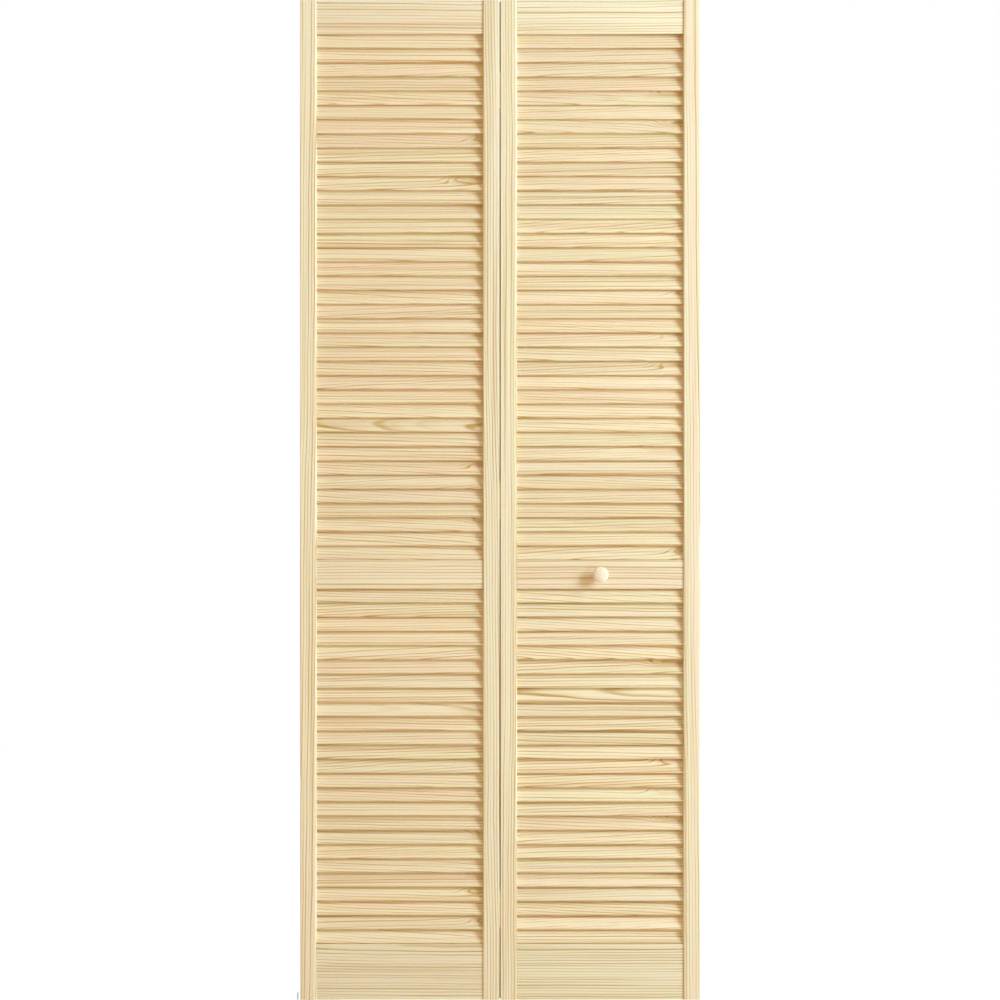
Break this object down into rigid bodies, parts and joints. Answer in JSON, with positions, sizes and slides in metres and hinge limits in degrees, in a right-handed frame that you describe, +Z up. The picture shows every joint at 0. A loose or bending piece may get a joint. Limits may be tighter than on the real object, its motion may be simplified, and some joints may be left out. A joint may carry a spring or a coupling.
{
  "type": "bifold closet door",
  "caption": "Louvred pine bifold door in two hinged panels, with pivots, a sprung guide wheel, an overhead track and a turned knob.",
  "frame": {"origin": "on the floor, midway across the opening, in the closed door's middle plane", "axes": "+X to the right seen from the room, +Y into the closet, +Z up"},
  "size_m": [0.8123, 0.0589, 2.04],
  "materials": {
    "pine_frame": "clear satin lacquer on clear pine, grain along each piece",
    "pine_slats": "clear satin lacquer on clear pine, grain along each slat",
    "turned_birch": "smooth clear lacquer on turned birch",
    "aluminium_track": "satin extruded aluminium",
    "zinc_plated_steel": "bright zinc plating on pressed and turned steel",
    "brass_plate": "brass-plated steel",
    "nylon": "natural white moulded nylon"
  },
  "bodies": {
    "opening_hardware": {"track": "aluminium_track", "top_pivot_bracket": "zinc_plated_steel", "top_pivot_lock_screw": "zinc_plated_steel", "jamb_bracket": "zinc_plated_steel", "bottom_pivot_pin": "zinc_plated_steel"},
    "pivot_panel": {"pivot_panel_outer_stile": "pine_frame", "pivot_panel_hinge_stile_with_slats": "pine_slats", "pivot_panel_bottom_rail": "pine_frame", "pivot_panel_middle_rail": "pine_frame", "pivot_panel_top_rail": "pine_frame", "bottom_pivot_socket": "nylon", "top_pivot_socket": "nylon", "top_pivot_spring": "zinc_plated_steel", "top_hinge_outer_leaf": "brass_plate", "top_hinge_pin": "brass_plate", "top_hinge_outer_screw_1": "brass_plate", "top_hinge_outer_screw_2": "brass_plate", "top_hinge_outer_screw_3": "brass_plate", "middle_hinge_outer_leaf": "brass_plate", "middle_hinge_pin": "brass_plate", "middle_hinge_outer_screw_1": "brass_plate", "middle_hinge_outer_screw_2": "brass_plate", "middle_hinge_outer_screw_3": "brass_plate", "bottom_hinge_outer_leaf": "brass_plate", "bottom_hinge_pin": "brass_plate", "bottom_hinge_outer_screw_1": "brass_plate", "bottom_hinge_outer_screw_2": "brass_plate", "bottom_hinge_outer_screw_3": "brass_plate"},
    "lead_panel": {"lead_panel_outer_stile": "pine_frame", "lead_panel_hinge_stile_with_slats": "pine_slats", "lead_panel_bottom_rail": "pine_frame", "lead_panel_middle_rail": "pine_frame", "lead_panel_top_rail": "pine_frame", "knob": "turned_birch", "knob_screw": "zinc_plated_steel", "guide_socket": "nylon", "guide_spring": "zinc_plated_steel", "top_hinge_inner_leaf": "brass_plate", "top_hinge_inner_screw_1": "brass_plate", "top_hinge_inner_screw_2": "brass_plate", "middle_hinge_inner_leaf": "brass_plate", "middle_hinge_inner_screw_1": "brass_plate", "middle_hinge_inner_screw_2": "brass_plate", "bottom_hinge_inner_leaf": "brass_plate", "bottom_hinge_inner_screw_1": "brass_plate", "bottom_hinge_inner_screw_2": "brass_plate"},
    "top_pivot_pin": {"top_pivot_pin": "zinc_plated_steel"},
    "guide_pin": {"guide_pin": "zinc_plated_steel"},
    "guide_wheel": {"guide_wheel": "nylon"}
  },
  "joints": [
    {"name": "pivot_swing", "type": "hinge", "parent": "opening_hardware", "child": "pivot_panel", "pos_m": [-0.381, 0, 0], "axis": [0, 0, -1], "range_deg": [0, 85]},
    {"name": "panel_fold", "type": "hinge", "parent": "pivot_panel", "child": "lead_panel", "pos_m": [0, 0.0175, 0], "axis": [0, 0, 1], "range_deg": [0, 170]},
    {"name": "top_pivot_plunge", "type": "slide", "parent": "pivot_panel", "child": "top_pivot_pin", "axis": [0, 0, -1], "range_m": [0, 0.011], "stiffness_N_per_m": 900, "springref_m": -0.012, "deforming": ["top_pivot_spring"]},
    {"name": "guide_plunge", "type": "slide", "parent": "lead_panel", "child": "guide_pin", "axis": [0, 0, -1], "range_m": [0, 0.007], "stiffness_N_per_m": 900, "springref_m": -0.012, "deforming": ["guide_spring"]},
    {"name": "guide_wheel_spin", "type": "hinge", "parent": "guide_pin", "child": "guide_wheel", "pos_m": [0.381, 0, 2.0238], "axis": [0, 0, 1], "continuous": true}
  ],
  "couplings": [
    {"joint": "panel_fold", "follows": "pivot_swing", "ratio": 2}
  ]
}
